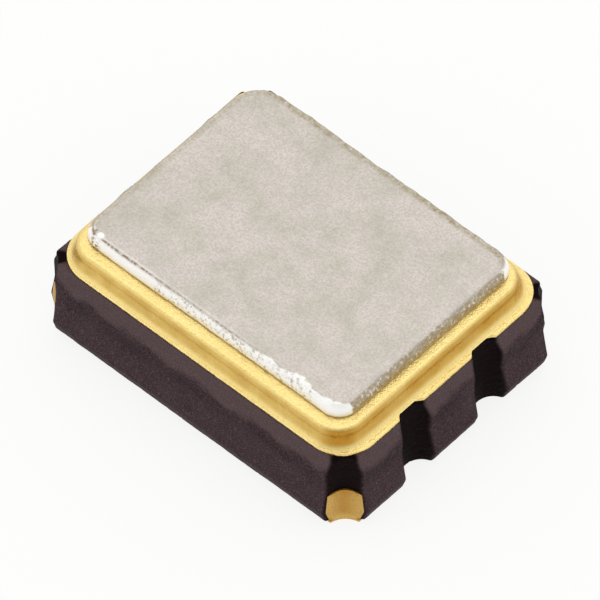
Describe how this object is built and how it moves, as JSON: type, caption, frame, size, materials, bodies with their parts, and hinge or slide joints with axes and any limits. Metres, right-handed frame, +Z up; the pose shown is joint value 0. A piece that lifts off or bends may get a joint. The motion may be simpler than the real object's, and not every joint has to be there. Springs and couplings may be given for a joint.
{
  "type": "surface-mount crystal oscillator",
  "caption": "Surface-mount crystal oscillator: black ceramic base with castellated corners and sides, gold-plated seal ring and a flat seam-welded metal lid.",
  "frame": {"origin": "centre of the package's outline, on the plane of the solder lands", "axes": "+X along the long side, from the corners of terminals 1 and 4 towards those of 2 and 3; +Y along the short side, from terminals 1 and 2 towards 4 and 3; +Z up through the lid"},
  "size_m": [0.0032, 0.0024, 0.001],
  "materials": {
    "black_alumina": "matte fired black alumina with faint mottling",
    "gold_plate": "soft satin gold plating",
    "nickel_plate": "matte nickel plating with fine mottling",
    "silicon": "polished silicon",
    "gold_wire": "bright drawn gold",
    "silver_adhesive": "cured silver-filled epoxy",
    "quartz": "lapped clear quartz",
    "silver_film": "evaporated silver film"
  },
  "bodies": {
    "root": {"ceramic_base": "black_alumina", "seal_band": "gold_plate", "braze_joint": "gold_plate", "seal_ring": "gold_plate", "lid": "nickel_plate", "terminal_1": "gold_plate", "terminal_2": "gold_plate", "terminal_3": "gold_plate", "terminal_4": "gold_plate", "test_land_1": "gold_plate", "test_land_2": "gold_plate", "test_land_3": "gold_plate", "test_land_4": "gold_plate", "die_pad": "gold_plate", "die_adhesive": "silver_adhesive", "oscillator_die": "silicon", "bond_finger_1": "gold_plate", "bond_finger_2": "gold_plate", "bond_finger_3": "gold_plate", "bond_finger_4": "gold_plate", "bond_finger_5": "gold_plate", "bond_finger_6": "gold_plate", "bond_wire_1": "gold_wire", "bond_wire_2": "gold_wire", "bond_wire_3": "gold_wire", "bond_wire_4": "gold_wire", "bond_wire_5": "gold_wire", "bond_wire_6": "gold_wire", "crystal_pad_1": "gold_plate", "crystal_pad_2": "gold_plate", "crystal_adhesive_1": "silver_adhesive", "crystal_adhesive_2": "silver_adhesive", "quartz_blank": "quartz", "electrode_top": "silver_film", "electrode_bottom": "silver_film"}
  },
  "joints": []
}
